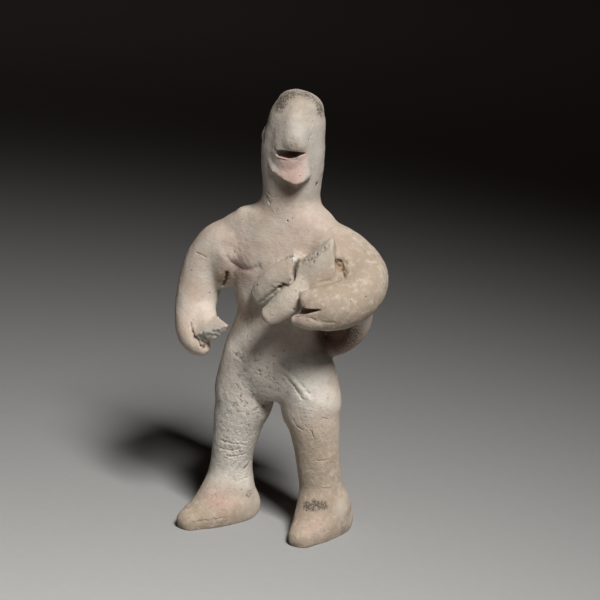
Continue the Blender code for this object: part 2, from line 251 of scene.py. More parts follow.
# Corners of the features that have flat faces and edges.
CHIN = (
    (3.2, -5.4, 87.6),
    (9.4, -4.2, 88.4),
    (0.4, -4.8, 86.4),
    (-0.2, -4.4, 84.6),
    (1.8, -6.3, 84.1),
    (5.1, -7.1, 82.6),
    (8.0, -7.1, 81.7),
    (9.4, -6.0, 82.2),
    (10.1, -4.6, 83.6),
    (2.6, -3.0, 83.0),
    (10.2, -3.0, 83.0),
    (6.2, -3.2, 80.0),
)
SLAB = (
    (-18.0, -6.0, 47.7),
    (-11.7, -6.0, 49.8),
    (-6.7, -10.2, 49.4),
    (-11.1, -11.0, 47.6),
    (-15.4, -10.2, 45.8),
    (-7.6, -9.6, 47.3),
    (-10.6, -9.8, 44.9),
    (-14.8, -9.2, 43.6),
    (-12.5, -5.5, 46.8),
)
WING = (
    (8.2, -7.2, 64.4),
    (9.5, -7.2, 65.5),
    (13.5, -7.0, 68.6),
    (16.0, -6.4, 71.0),
    (16.8, -6.2, 70.8),
    (8.3, -9.2, 62.7),
    (10.6, -9.6, 64.0),
    (14.3, -9.6, 66.4),
    (17.3, -8.4, 68.8),
    (17.9, -8.4, 66.4),
    (18.4, -9.2, 62.7),
    (15.0, -10.8, 61.3),
    (11.1, -11.4, 59.4),
    (8.3, -10.2, 60.0),
    (9.0, -5.0, 63.0),
    (16.4, -4.6, 69.4),
    (18.0, -5.0, 62.7),
)

# Cuts: the mouth slot and the gap between thumb and fingers.
MOUTH = (
    (3.2, -6.8, 88.2, 0.7, 2.4),
    (4.8, -7.2, 88.2, 0.9, 3.2),
    (6.6, -7.2, 88.1, 1.0, 3.4),
    (8.4, -6.9, 88.2, 0.7, 3.0),
    (10.0, -6.0, 88.4, 0.2, 2.2),
)
FINGER_GAP = (
    (10.6, -15.0, 55.7, 0.9, 2.4),
    (13.0, -15.0, 56.3, 0.85, 2.4),
    (15.4, -14.8, 56.9, 0.6, 2.1),
    (17.6, -14.4, 57.4, 0.2, 1.5),
)

# Cuts and ridges worked into the clay, all in millimetres in the row frame:
# half width, height (negative where it is cut in), darkness of the painted
# shade along it, then its points.
STROKES = {
    "pectoral_fold": (
        1.1, -0.38, 0.12,
        ((-17.6, -0.9, 94.1), (-15.1, 0.2, 91.5), (-12.4, -0.8, 90.7), (-8.7, -2.1, 90.9),
         (-5.1, -2.8, 92.7)),
    ),
    "pectoral_crease": (
        0.3, -0.2, 0.5,
        ((-16.4, -0.5, 92.4), (-14.0, -0.3, 91.0), (-10.5, -1.4, 90.6)),
    ),
    "shoulder_fill": (3.4, 0.9, 0.0, ((-15.0, 1.5, 107.5), (-15.0, 1.0, 101.0), (-14.6, 0.5, 96.5))),
    "armpit_crack": (
        0.56, -0.8, 1.0,
        ((-18.4, 0.4, 88.4), (-19.3, 1.2, 85.9), (-20.3, 1.9, 83.6), (-20.6, 1.9, 81.6)),
    ),
    "ear_groove": (
        0.7, -0.4, 0.5,
        ((-4.2, 2.3, 139.2), (-5.3, 3.1, 137.0), (-5.4, 2.3, 135.2), (-5.2, 1.5, 133.4)),
    ),
    # Painted shade that dims the lit lower rim of the mouth.
    "mouth_rim": (
        0.55, -0.12, 0.5,
        ((0.2, -3.8, 132.4), (2.0, -4.4, 131.1), (4.2, -5.0, 130.9), (6.9, -5.0, 130.7), (9.6, -4.6, 131.2),
         (11.6, -3.3, 132.0)),
    ),
    "shoulder_crack": (0.22, -0.25, 0.6, ((-29.3, -1.1, 94.2), (-27.1, -1.6, 93.7), (-25.4, -1.6, 93.2))),
    "neck_scratch": (0.3, -0.2, 0.35, ((-4.2, 0.8, 116.6), (-3.0, 0.0, 115.0), (-2.1, -0.4, 113.5))),
    "neck_scratch_short": (0.25, -0.2, 0.4, ((-2.9, -0.2, 117.4), (-1.9, -0.6, 116.3))),
    "head_scratch": (0.3, -0.3, 1.0, ((11.6, 0.0, 136.0), (11.6, 0.5, 136.8), (11.8, 1.4, 137.1))),
    "slab_crack": (
        0.35, -0.6, 1.0,
        ((-28.6, -6.5, 71.3), (-27.5, -7.9, 69.0), (-25.1, -8.9, 67.0), (-23.8, -9.1, 64.8)),
    ),
    "deep_fold": (
        0.9, -1.0, 0.9,
        ((11.0, -6.4, 97.6), (10.5, -7.1, 96.9), (10.1, -7.7, 95.3), (9.9, -8.2, 93.4), (10.3, -10.0, 92.0)),
    ),
    "deep_fold_foot": (
        0.8, -0.6, 0.8,
        ((10.3, -10.0, 92.0), (9.4, -11.2, 90.7), (7.2, -9.4, 89.2), (5.1, -8.1, 88.1)),
    ),
    "fold_tail": (
        0.6, -0.4, 0.35,
        ((5.1, -8.1, 88.1), (2.6, -8.2, 86.3), (-0.1, -7.9, 84.2), (-3.1, -6.9, 81.6)),
    ),
    "lobe_outline": (
        0.45, -0.5, 0.5,
        ((9.0, -6.0, 98.6), (6.0, -5.4, 97.4), (2.6, -4.6, 95.0), (-0.8, -4.4, 92.0), (-4.0, -4.4, 88.2)),
    ),
    "wing_lip": (
        0.45, -0.3, 0.45,
        ((11.5, -6.6, 97.1), (13.7, -6.7, 97.8), (15.8, -7.6, 98.5), (17.5, -7.3, 99.8), (19.3, -6.8, 101.5),
         (21.0, -5.8, 103.3)),
    ),
    "white_chip": (0.35, 0.45, 0.0, ((8.7, -5.1, 99.0), (9.1, -6.4, 98.2), (9.4, -7.2, 97.1))),
    "arm_pit_edge": (
        0.4, -0.5, 0.85,
        ((23.5, -4.9, 99.2), (24.3, -4.7, 97.6), (25.8, -5.6, 95.7), (27.3, -6.9, 94.4)),
    ),
    "arm_pit_side": (0.9, -0.8, 0.0, ((24.1, -4.2, 98.5), (25.5, -5.0, 96.8), (27.0, -5.9, 95.3))),
    "arm_pit_top": (0.8, -0.7, 0.0, ((23.8, -4.4, 98.6), (25.1, -4.0, 98.7), (26.2, -3.9, 98.5))),
    "sleeve_line": (
        0.5, -0.2, 0.1,
        ((19.5, -10.2, 92.2), (23.0, -8.6, 93.2), (27.9, -7.9, 93.9), (31.5, -8.4, 93.8)),
    ),
    "finger_line": (0.4, -0.2, 0.15, ((19.9, -17.2, 82.5), (23.8, -16.6, 81.6), (27.7, -15.1, 81.3))),
    "finger_slit": (0.5, -0.2, 0.9, ((13.2, -16.4, 83.2), (16.4, -16.4, 84.0), (20.2, -16.0, 84.9))),
    "thumb_crease": (0.35, -0.5, 0.7, ((14.0, -12.5, 88.9), (14.1, -13.1, 87.3), (14.1, -13.2, 85.5))),
    "thigh_ridge": (
        1.2, 0.42, 0.0,
        ((2.2, -3.6, 60.0), (5.1, -3.2, 58.2), (8.1, -3.2, 55.2), (11.0, -3.0, 52.0), (12.9, -2.7, 49.5)),
    ),
    "thigh_groove": (
        0.5, -0.36, 0.1,
        ((2.2, -3.6, 61.2), (5.1, -3.2, 59.7), (8.1, -3.2, 56.7), (11.0, -3.0, 53.6), (12.9, -2.7, 51.2)),
    ),
    "thigh_groove_lower": (
        0.45, -0.35, 0.2,
        ((3.4, -3.5, 57.0), (6.2, -3.2, 55.0), (8.8, -3.3, 52.2), (10.7, -3.3, 49.6)),
    ),
    "thigh_scratch": (0.25, -0.25, 0.5, ((-9.1, -0.6, 41.4), (-7.7, 0.8, 41.7))),
    "left_shin_crack": (
        0.25, -0.3, 0.45,
        ((11.6, -2.9, 40.2), (12.9, -2.6, 38.6), (14.0, -2.3, 37.7), (14.3, -2.1, 36.2)),
    ),
    "left_shin_crack_side": (0.22, -0.2, 0.3, ((7.1, -2.5, 41.7), (8.4, -2.6, 39.0), (10.7, -2.9, 38.3))),
    "left_knee_mark": (0.25, -0.25, 0.25, ((17.2, -0.5, 42.6), (18.2, 0.6, 41.8))),
    "left_shin_mark": (0.25, -0.2, 0.25, ((15.1, -1.3, 27.5), (16.9, -0.2, 27.3), (18.2, 1.3, 27.7))),
    "left_ankle_mark": (0.25, -0.2, 0.35, ((16.7, -0.7, 18.0), (18.3, 0.3, 17.4), (19.4, 1.6, 17.3))),
    "right_shin_line_high": (
        0.35, -0.2, 0.2,
        ((-20.6, -1.9, 29.3), (-16.8, -2.1, 28.9), (-13.7, -0.6, 28.7), (-12.3, 1.1, 27.8)),
    ),
    "right_shin_line_middle": (
        0.3, -0.18, 0.2,
        ((-20.0, -1.9, 26.2), (-16.4, -1.4, 26.0), (-14.0, -0.1, 26.5)),
    ),
    "right_shin_line_low": (0.3, -0.2, 0.25, ((-17.2, -1.3, 23.6), (-15.4, -0.5, 23.9), (-13.5, 1.4, 24.2))),
    "right_shin_nick": (0.4, -0.35, 0.9, ((-13.7, 2.9, 18.4), (-13.2, 4.4, 19.2), (-13.0, 6.2, 20.2))),
    "right_ankle_curl": (
        0.25, -0.22, 0.4,
        ((-16.1, -0.6, 15.9), (-15.6, -0.4, 14.4), (-14.7, 0.5, 14.6), (-13.9, 2.0, 15.1),
         (-13.1, 4.3, 14.7)),
    ),
    "right_heel_oval": (
        0.3, -0.2, 0.35,
        ((-12.6, 1.7, 8.9), (-12.4, 2.9, 10.0), (-12.1, 5.0, 9.6), (-12.1, 5.2, 8.4), (-12.4, 2.9, 7.8),
         (-12.6, 1.7, 8.9)),
    ),
    "right_foot_crease": (0.35, -0.25, 0.35, ((-23.6, -13.1, 3.1), (-20.3, -10.7, 3.3), (-17.3, -7.8, 3.6))),
    "left_ankle_scratch": (0.25, -0.2, 0.4, ((14.9, -2.9, 13.5), (15.8, -3.3, 12.5), (17.4, -3.4, 11.4))),
}

# Hollows and swellings, in millimetres: place, radius and height.
DENTS = {
    "pectoral": ((-11.5, -1.6, 95.2), 4.8, 0.35),
    "chest_pinhole": ((4.3, -0.8, 108.7), 0.3, -0.5),
    "cheek_pit": ((11.6, 5.6, 120.3), 0.5, -0.45),
    "forearm_pinhole": ((35.7, -9.2, 89.3), 0.3, -0.3),
    "wing_chip_a": ((17.1, -8.4, 98.4), 0.5, -0.35),
    "wing_chip_b": ((17.4, -6.7, 100.5), 0.45, -0.35),
    "wing_chip_c": ((15.6, -7.0, 99.0), 0.5, -0.3),
    "wing_chip_d": ((19.7, -6.0, 102.7), 0.4, -0.3),
    "finger_notch": ((-22.9, -8.6, 64.4), 0.8, -0.5),
    "hip_scar": ((-13.9, -2.5, 60.9), 0.8, -0.25),
    "hip_scar_side": ((-11.9, -2.9, 60.2), 0.8, -0.25),
    "crotch_spot": ((-4.7, -4.0, 57.1), 0.4, -0.3),
    "crotch_spot_low": ((-4.4, -3.9, 55.7), 0.4, -0.3),
    "thigh_spot_a": ((-6.4, 2.4, 42.7), 0.5, -0.35),
    "thigh_spot_b": ((-6.5, 5.6, 40.2), 0.5, -0.3),
    "thigh_spot_c": ((-5.3, 2.5, 44.3), 0.4, -0.3),
    "belly_pinhole": ((3.9, -2.7, 65.2), 0.25, -0.3),
}

# Patches of rough broken clay, in millimetres: place, radius and roughness.
SCARS = {
    "slab_face_left": ((-22.4, -9.6, 67.6), 2.6, 0.35),
    "slab_face_right": ((-17.6, -10.0, 70.4), 2.8, 0.35),
    "wing_strip_low": ((12.9, -6.5, 98.0), 1.8, 0.22),
    "wing_strip_middle": ((16.0, -6.4, 100.3), 1.9, 0.22),
    "wing_strip_high": ((18.8, -5.8, 102.4), 1.6, 0.16),
    "hip": ((-12.9, -2.8, 60.5), 2.6, 0.18),
    "arm_pit": ((25.8, -4.6, 97.4), 2.0, 0.22),
    "inner_thigh": ((-6.2, 3.0, 42.3), 3.0, 0.2),
    "fold_bottom": ((4.0, -8.4, 88.6), 2.2, 0.2),
    "right_shin": ((-16.5, -1.0, 26.0), 6.0, 0.1),
    "right_thigh": ((-13.0, -2.0, 45.0), 8.0, 0.07),
    "left_ankle": ((16.0, -3.3, 12.2), 2.6, 0.16),
    "nose_edge": ((7.8, -5.0, 134.2), 2.2, 0.1),
    "neck": ((-3.0, 0.0, 115.2), 2.2, 0.14),
}

# Zones of colour and of coarse clay: place and radius in millimetres, and
# strength, where more than 1 keeps it full for further out.
# Some zones also hold painted shade or a painted highlight, as marked.
ZONES = {
    "grey": (
        ((7.0, 2.0, 140.0), 15.0, 1.0),
        ((8.0, 2.0, 124.0), 11.0, 0.9),
        ((-14.0, 0.0, 40.0), 15.0, 0.7),
        ((-17.0, 0.0, 20.0), 13.0, 0.8),
        ((0.0, 0.0, 58.0), 13.0, 0.6),
        ((13.0, -3.0, 58.0), 9.0, 0.7),
    ),
    # Tan clay on the shins and feet, darker clay on the head top, forearm and left shoulder, and painted
    # shade on the belly and under the chin.
    "tan_and_shade": (
        ((13.0, 0.0, 34.0), 9.0, 0.65),
        ((14.5, 0.0, 22.0), 11.0, 0.75),
        ((-22.0, -9.0, 3.0), 16.0, 1.1),
        ((17.0, -9.0, 4.0), 17.0, 1.2),
        ((29.0, -12.0, 90.0), 16.0, 1.2),
        ((32.0, -2.0, 104.0), 14.0, 0.6),
        ((16.0, -2.0, 108.0), 10.0, 0.45),
        ((5.0, 3.0, 148.5), 10.0, 0.7),
        # Painted shade of the forearm's shadow on the belly.
        ((0.0, -2.0, 74.0), 8.0, 0.6),
        ((24.6, -4.6, 98.0), 2.4, 0.9),
        ((8.5, -5.0, 134.4), 2.6, 0.8),
        # Painted shade under the chin.
        ((6.0, -3.5, 121.5), 5.0, 0.6),
    ),
    "pink": (
        ((-16.6, -4.2, 8.3), 4.6, 0.6),
        ((-21.6, -6.5, 10.0), 4.0, 0.5),
        ((14.4, -6.4, 6.0), 6.0, 0.3),
        ((18.0, -4.9, 6.0), 5.0, 0.25),
        ((6.5, -5.0, 126.5), 4.2, 1.0),
        ((9.5, -5.5, 125.5), 3.2, 1.0),
        ((5.0, -3.0, 130.0), 2.6, 1.0),
        ((10.5, -2.0, 130.6), 2.2, 0.9),
        ((8.0, -1.0, 108.0), 8.0, 0.4),
        ((-14.0, 0.0, 98.0), 9.0, 0.35),
        ((22.0, 0.0, 106.0), 9.0, 0.3),
        ((18.0, -15.5, 82.5), 4.0, 0.45),
        ((-12.0, -0.5, 88.5), 5.0, 0.5),
        ((-25.0, -6.0, 76.0), 6.0, 0.3),
    ),
    "held": (
        ((2.0, -8.0, 87.0), 5.5, 0.9),
        ((-4.0, -6.0, 82.0), 4.5, 0.8),
        ((6.5, -14.5, 83.5), 5.0, 0.8),
        ((11.0, -12.0, 88.0), 4.0, 0.6),
        ((13.0, -8.5, 96.0), 4.5, 0.9),
        ((18.5, -7.0, 100.0), 4.8, 0.9),
        ((20.0, -5.0, 104.5), 3.5, 0.8),
        ((-21.5, -7.0, 71.5), 3.5, 0.5),
    ),
    # Soot marks on the head and left foot, and painted shade in one recess.
    "soot_and_shade": (
        ((0.8, 1.4, 146.0), 2.8, 0.9),
        ((12.6, 6.9, 144.7), 2.6, 0.8),
        ((3.2, 3.6, 149.4), 3.0, 0.8),
        ((8.5, 6.6, 149.0), 3.0, 0.7),
        # Painted shade in the recess behind the left elbow.
        ((19.0, 8.5, 70.0), 7.0, 0.9),
        ((12.5, -4.0, 11.8), 1.6, 0.9),
        ((15.5, -3.5, 12.2), 2.0, 1.0),
        ((18.3, -2.0, 12.4), 1.5, 0.9),
        ((22.7, 3.8, 2.3), 1.8, 0.5),
        ((11.6, 5.6, 120.3), 1.0, 0.6),
        ((-12.4, 3.0, 9.2), 1.8, 0.5),
    ),
    "rust": (
        ((-20.5, 0.8, 85.5), 2.5, 1.0),
        ((-19.2, 0.6, 87.6), 2.2, 0.8),
        ((-16.5, 0.5, 86.0), 2.6, 0.4),
        ((24.4, -4.6, 98.0), 1.6, 0.7),
        ((25.4, -5.0, 96.4), 1.4, 0.7),
        ((-6.0, 3.0, 42.2), 2.0, 0.5),
        ((-16.6, -4.2, 8.3), 5.5, 0.34),
        ((-21.6, -6.5, 10.0), 4.5, 0.28),
        ((15.0, -7.0, 6.0), 6.0, 0.16),
    ),
    "coarse": (
        ((-13.0, 0.0, 44.0), 12.0, 1.0),
        ((-16.0, 0.0, 27.0), 10.0, 1.0),
        ((-8.0, -2.0, 62.0), 8.0, 0.9),
        ((2.0, -2.0, 54.0), 8.0, 0.7),
        ((-9.0, -2.0, 76.0), 6.0, 0.8),
        ((-14.0, 0.0, 88.0), 4.5, 0.7),
        ((13.0, -2.0, 42.0), 7.0, 0.45),
        ((14.0, -1.0, 24.0), 8.0, 0.4),
        ((5.0, -12.0, 84.0), 5.0, 0.7),
        ((20.0, -16.0, 81.0), 5.0, 0.5),
        ((16.0, -7.0, 98.0), 6.0, 0.2),
        ((-2.0, 0.0, 115.0), 5.0, 0.5),
        ((8.0, -5.0, 134.6), 2.4, 0.9),
        ((-22.0, -10.0, 3.0), 9.0, 0.5),
        ((16.0, -8.0, 4.0), 8.0, 0.4),
    ),
    # Painted shade in the mouth, the finger gap, the recess behind the left elbow and under the chin.
    "painted_shade": (
        ((6.5, 0.8, 131.6), 3.0, 1.0),
        ((17.5, -11.5, 86.2), 2.6, 0.9),
        ((16.5, 8.8, 67.6), 6.5, 1.0),
        ((14.0, 8.4, 72.0), 5.0, 1.0),
        ((5.5, -2.5, 119.5), 5.4, 0.66),
    ),
    # Pale chalky clay and a chip, and a painted highlight on the ear.
    "chalk_and_highlight": (
        ((9.1, -6.4, 98.2), 1.2, 1.0),
        # Painted highlight on the ear.
        ((-8.5, 8.0, 134.6), 3.4, 1.0),
        ((9.5, -3.0, 53.5), 7.0, 0.75),
        ((-8.0, -1.0, 60.0), 9.0, 0.6),
        ((13.0, 0.0, 54.0), 9.0, 0.6),
        ((-15.0, -1.0, 40.0), 15.0, 0.85),
        ((-17.0, -1.0, 24.0), 12.0, 0.8),
        ((-12.0, 3.5, 14.0), 3.0, 0.5),
        ((22.5, 3.0, 10.0), 3.0, 0.4),
        ((-14.0, -1.0, 66.0), 3.5, 0.4),
    ),
    "ash": (
        ((-21.5, -9.6, 68.4), 3.0, 1.0),
        ((-17.0, -10.0, 70.8), 2.6, 1.0),
    ),
}

# Clay colours, as red, green and blue shares of light sent back.
WARM_CLAY = (0.41, 0.325, 0.265, 1.0)
PALE_CLAY = (0.455, 0.408, 0.355, 1.0)
GREY_CLAY = (0.385, 0.358, 0.322, 1.0)
# Tan clay, and also painted shade on the belly and under the chin.
TAN_CLAY_AND_SHADE = (0.265, 0.212, 0.157, 1.0)
PINK_CLAY = (0.42, 0.295, 0.26, 1.0)
HELD_CLAY = (0.365, 0.33, 0.275, 1.0)
# Soot, and also painted shade in the recess behind the left elbow.
SOOT_AND_SHADE_COLOUR = (0.05, 0.044, 0.036, 1.0)
RUST = (0.20, 0.11, 0.055, 1.0)
ASH = (0.33, 0.32, 0.295, 1.0)
# Chalky clay and flecks, and also the painted highlight on the ear.
CHALK_AND_HIGHLIGHT_COLOUR = (0.54, 0.51, 0.46, 1.0)
# Painted shade in recesses and under the chin.
PAINTED_SHADE_COLOUR = (0.125, 0.066, 0.044, 1.0)
# Painted shade in cracks, creases and small pits.
PAINTED_CRACK_SHADE = (0.05, 0.036, 0.026, 1.0)
DUST_SHADE = (0.16, 0.125, 0.092, 1.0)
SCAR_SHADE = (0.16, 0.127, 0.095, 1.0)
PINHOLE_SHADE = (0.065, 0.05, 0.038, 1.0)

# Unevenness of the hand-pressed skin: period and height, in millimetres.
SWELLS = ((11.0, 0.24), (4.5, 0.08), (1.7, 0.03))
SCAR_PERIOD = 1.1
COARSE_PERIOD = 1.3
COARSE_GRAIN = 0.11

# How strokes are laid and how their edges wander, in millimetres.  Thin strokes
# come and go along their length, by a noise with this middle, swing and range.
LINE_STEP = 0.5
EDGE_WANDER = 0.3
WANDER_PERIOD = 1.3
WANDER_SEED = 7
BREAK_PERIOD = 1.6
BREAK_MIDDLE = 0.75
BREAK_SWING = 0.9
BREAK_RANGE = (0.15, 1.2)
THIN_STROKE = 0.55

# Finer faces are made this near to strokes under the wide one, in millimetres,
# and near small pits.  The soles stay calm up to this height, in millimetres.
WIDE_STROKE = 2.0
CREASE_REACH = 1.6
CREASE_REFINEMENTS = 2
PIT_REACH = 1.0
SOLE_CALM = 1.2
MOST_TRIANGLES = 192000

# A small pit's painted shade, as darkness per millimetre of depth, the
# roughness, in millimetres, at which a scar counts as full, and the shortest
# squared length of a line piece.
SMALL_PIT = 1.0
PIT_DARKNESS = 2.2
FULL_SCAR = 0.3
SHORTEST_PIECE = 1e-9

# Periods of the clay's colour and grain, and depths of its bumps, in metres.
PATCH_PERIOD = 0.009
EDGE_PERIOD = 0.0022
DUST_PERIOD = 0.0013
FLECK_PERIOD = 0.0006
WIPE_PERIOD = 0.0011
WIPE_STRETCH = (0.3, 1.0, 1.3)
PINHOLE_PERIOD = 0.0034
PINHOLE_SIZE = 0.085
WIPE_DEPTH = 0.00022
FLECK_DEPTH = 0.00032
DUST_DEPTH = 0.0003
PIT_DEPTH = 0.0003
CLAY_SHINE = 0.25
CARD_GRAIN_PERIOD = 0.004
CARD_ROUGHNESS = 0.95
CARD_SHINE = 0.1

# Places of the colour sockets on a colour mixing node.
FIRST_COLOUR = 6
SECOND_COLOUR = 7
MIXED_COLOUR = 2

# The photograph's camera: degrees, millimetres of lens, and metres.
VIEW_AZIMUTH = 25.0
VIEW_ELEVATION = 17.0
VIEW_DISTANCE = 0.66
VIEW_TARGET = Vector((0.00573, 0.00576, 0.0803))
VIEW_LENS = 120.0

# Area lights: place, aim, size in metres, spread of the beam in degrees, power
# in watts and colour.
LIGHTS = {
    "key": ((0.456, -0.380, 0.764), (-0.01, -0.24, 0.0), 0.24, 63.0, 3.1, (1.0, 0.985, 0.96)),
    "backdrop": ((-0.90, 1.00, 0.90), (-0.60, 0.90, 0.0), 0.40, 110.0, 0.10, (1.0, 0.93, 0.88)),
}
ROOM_LIGHT = (0.009, 0.006, 0.0043, 1.0)
FLOOR_SIZE = 8.0
FLOOR_COLOUR = (0.265, 0.265, 0.262, 1.0)
FLOOR_GRAIN = (0.25, 0.25, 0.247, 1.0)


def spline_value(before, start, end, after, share):
    """Value at a share of the way from start to end on a smooth curve."""
    slope_start = (end - before) / 2.0
    slope_end = (after - start) / 2.0
    cube = share ** 3
    square = share ** 2
    return (
        (2.0 * cube - 3.0 * square + 1.0) * start
        + (cube - 2.0 * square + share) * slope_start
        + (3.0 * square - 2.0 * cube) * end
        + (cube - square) * slope_end
    )


def smooth_rows(stations):
    """Rows on a smooth curve through the stations, both ends included."""
    padded = [stations[0], *stations, stations[-1]]
    rows = []
    for index in range(1, len(padded) - 2):
        window = padded[index - 1:index + 3]
        for step in range(PATH_STEPS):
            share = step / PATH_STEPS
            rows.append([spline_value(*values, share) for values in zip(*window)])
    rows.append(list(stations[-1]))
    return rows


def loft(stations, across, dome=1.0, squareness=2.0):
    """Closed skin of oval rings along the stations, with a dome at each end.

    across is the direction in which the half widths are measured.  The dome
    is a share of the end's smaller half size, and a squareness over 2 makes
    the ovals boxy.
    """
    rows = smooth_rows(stations)
    centres = [Vector(row[:3]) for row in rows]
    last = len(rows) - 1
    rings = []
    for index, row in enumerate(rows):
        ahead = centres[min(index + 1, last)]
        behind = centres[max(index - 1, 0)]
        along = (ahead - behind).normalized()
        side = (across - across.dot(along) * along).normalized()
        lift = along.cross(side)
        rings.append((centres[index], along, side * row[3], lift * row[4]))
    first_ring = rings[0]
    last_ring = rings[-1]
    start_depth = dome * min(first_ring[2].length, first_ring[3].length)
    end_depth = dome * min(last_ring[2].length, last_ring[3].length)
    start_rings = [domed(first_ring, -start_depth, angle) for angle in reversed(DOME_ANGLES)]
    end_rings = [domed(last_ring, end_depth, angle) for angle in DOME_ANGLES]
    all_rings = start_rings + rings + end_rings
    points = []
    for centre, along, side, lift in all_rings:
        for step in range(RING_SIDES):
            turn = 2.0 * math.pi * step / RING_SIDES
            sideways = rounded(math.cos(turn), squareness)
            upwards = rounded(math.sin(turn), squareness)
            points.append(centre + side * sideways + lift * upwards)
    faces = []
    for ring in range(len(all_rings) - 1):
        low = ring * RING_SIDES
        high = low + RING_SIDES
        for step in range(RING_SIDES):
            following = (step + 1) % RING_SIDES
            faces.append((low + step, low + following, high + following, high + step))
    start_tip = len(points)
    points.append(first_ring[0] - first_ring[1] * start_depth)
    points.append(last_ring[0] + last_ring[1] * end_depth)
    top = (len(all_rings) - 1) * RING_SIDES
    for step in range(RING_SIDES):
        following = (step + 1) % RING_SIDES
        faces.append((start_tip, following, step))
        faces.append((start_tip + 1, top + step, top + following))
    return points, faces


def rounded(value, squareness):
    """Circle coordinate pushed outwards to make an oval boxy."""
    return math.copysign(abs(value) ** (2.0 / squareness), value)


def hull(corners):
    """Closed skin stretched over corner points."""
    shape = bmesh.new()
    for corner in corners:
        shape.verts.new(corner)
    made = bmesh.ops.convex_hull(shape, input=shape.verts)
    loose = [item for item in made["geom_unused"] if isinstance(item, bmesh.types.BMVert)]
    bmesh.ops.delete(shape, geom=loose, context="VERTS")
    shape.verts.index_update()
    points = [vertex.co.copy() for vertex in shape.verts]
    faces = [tuple(vertex.index for vertex in face.verts) for face in shape.faces]
    shape.free()
    return points, faces


def domed(ring, depth, angle):
    """Ring moved out and shrunk as on a round end, at an angle in degrees."""
    centre, along, side, lift = ring
    turn = math.radians(angle)
    moved = centre + along * depth * math.sin(turn)
    shrunk = math.cos(turn) ** DOME_BLUNTNESS
    return moved, along, side * shrunk, lift * shrunk


def make_object(name, pieces, collection):
    """One object from several closed skins, scaled from stations to metres."""
    points = []
    faces = []
    for piece_points, piece_faces in pieces:
        offset = len(points)
        points.extend(point * UNIT for point in piece_points)
        faces.extend(tuple(offset + corner for corner in face) for face in piece_faces)
    mesh = bpy.data.meshes.new(name)
    mesh.from_pydata(points, [], faces)
    mesh.update()
    made = bpy.data.objects.new(name, mesh)
    collection.objects.link(made)
    return made


def fuse(target, voxel, smoothing):
    """Add the modifiers that weld overlapping skins and soften their joins."""
    weld = target.modifiers.new("weld", "REMESH")
    weld.mode = "VOXEL"
    weld.voxel_size = voxel
    soften = target.modifiers.new("soften", "SMOOTH")
    soften.factor = SMOOTHING_STRENGTH
    soften.iterations = smoothing


def bake(target):
    """Replace the object's mesh by what its modifiers make of it."""
    graph = bpy.context.evaluated_depsgraph_get()
    mesh = bpy.data.meshes.new_from_object(target.evaluated_get(graph))
    target.modifiers.clear()
    target.data = mesh


def skin_of(target):
    """Points, in station units, and faces of an object's mesh."""
    points = [vertex.co / UNIT for vertex in target.data.vertices]
    faces = [tuple(face.vertices) for face in target.data.polygons]
    return points, faces


def flatten_soles(target):
    """Cut both feet off flat at z = 0 and close the cuts."""
    shape = bmesh.new()
    shape.from_mesh(target.data)
    everything = list(shape.verts) + list(shape.edges) + list(shape.faces)
    bmesh.ops.bisect_plane(
        shape,
        geom=everything,
        dist=SOLE_MERGE,
        plane_co=(0.0, 0.0, 0.0),
        plane_no=(0.0, 0.0, 1.0),
        clear_inner=True,
    )
    rim = [edge for edge in shape.edges if edge.is_boundary]
    made = bmesh.ops.holes_fill(shape, edges=rim)
    bmesh.ops.triangulate(shape, faces=made["faces"])
    bmesh.ops.recalc_face_normals(shape, faces=list(shape.faces))
    shape.to_mesh(target.data)
    shape.free()


def places_of(mesh):
    """The mesh's points as rows of x, y and z in metres."""
    values = np.empty(len(mesh.vertices) * 3)
    mesh.vertices.foreach_get("co", values)
    return values.reshape(-1, 3)


def normals_of(mesh):
    """The mesh's point normals as rows."""
    values = np.empty(len(mesh.vertices) * 3)
    mesh.vertices.foreach_get("normal", values)
    return values.reshape(-1, 3)


def move_to(mesh, places):
    """Set the mesh's points."""
    mesh.vertices.foreach_set("co", places.ravel())
    mesh.update()


def fit_box(mesh, low, high):
    """Scale and shift the mesh so that it stands exactly in the solid's box."""
    places = places_of(mesh)
    scale = (high.z - low.z) / places[:, 2].max()
    places *= scale
    for axis in (0, 1):
        middle = (places[:, axis].min() + places[:, axis].max()) / 2.0
        places[:, axis] += (low[axis] + high[axis]) / 2.0 - middle
    places[:, 2] = np.maximum(places[:, 2], low.z)
    move_to(mesh, places)


def laid_on(skin, corners):
    """Fine line through the corners, moved onto the skin, in millimetres."""
    line = []
    for start, end in zip(corners[:-1], corners[1:]):
        start = Vector(start)
        end = Vector(end)
        steps = max(1, math.ceil((end - start).length / LINE_STEP))
        for step in range(steps):
            spot = start.lerp(end, step / steps) * MILLIMETRE
            line.append(skin.find_nearest(spot)[0] / MILLIMETRE)
    line.append(skin.find_nearest(Vector(corners[-1]) * MILLIMETRE)[0] / MILLIMETRE)
    return line


def distance_to_line(spots, line):
    """Distance of each spot from a line of straight pieces."""
    nearest = np.full(len(spots), np.inf)
    for start, end in zip(line[:-1], line[1:]):
        start = np.array(start)
        along = np.array(end) - start
        share = np.clip((spots - start) @ along / max(along @ along, SHORTEST_PIECE), 0.0, 1.0)
        gap = np.linalg.norm(spots - start - share[:, None] * along, axis=1)
        nearest = np.minimum(nearest, gap)
    return nearest


def soft_noise(spots, period, octaves=3):
    """Smooth random value between about -1 and 1 at each spot."""
    return np.array([noise.fractal(Vector(spot) / period, 1.0, 2.0, octaves) for spot in spots])


def wandering(spots):
    """The spots pushed about a little, so that edges drawn from them are irregular."""
    noise.seed_set(WANDER_SEED)
    shifts = [noise.noise_vector(Vector(spot) / WANDER_PERIOD) for spot in spots]
    return spots + EDGE_WANDER * np.array(shifts)


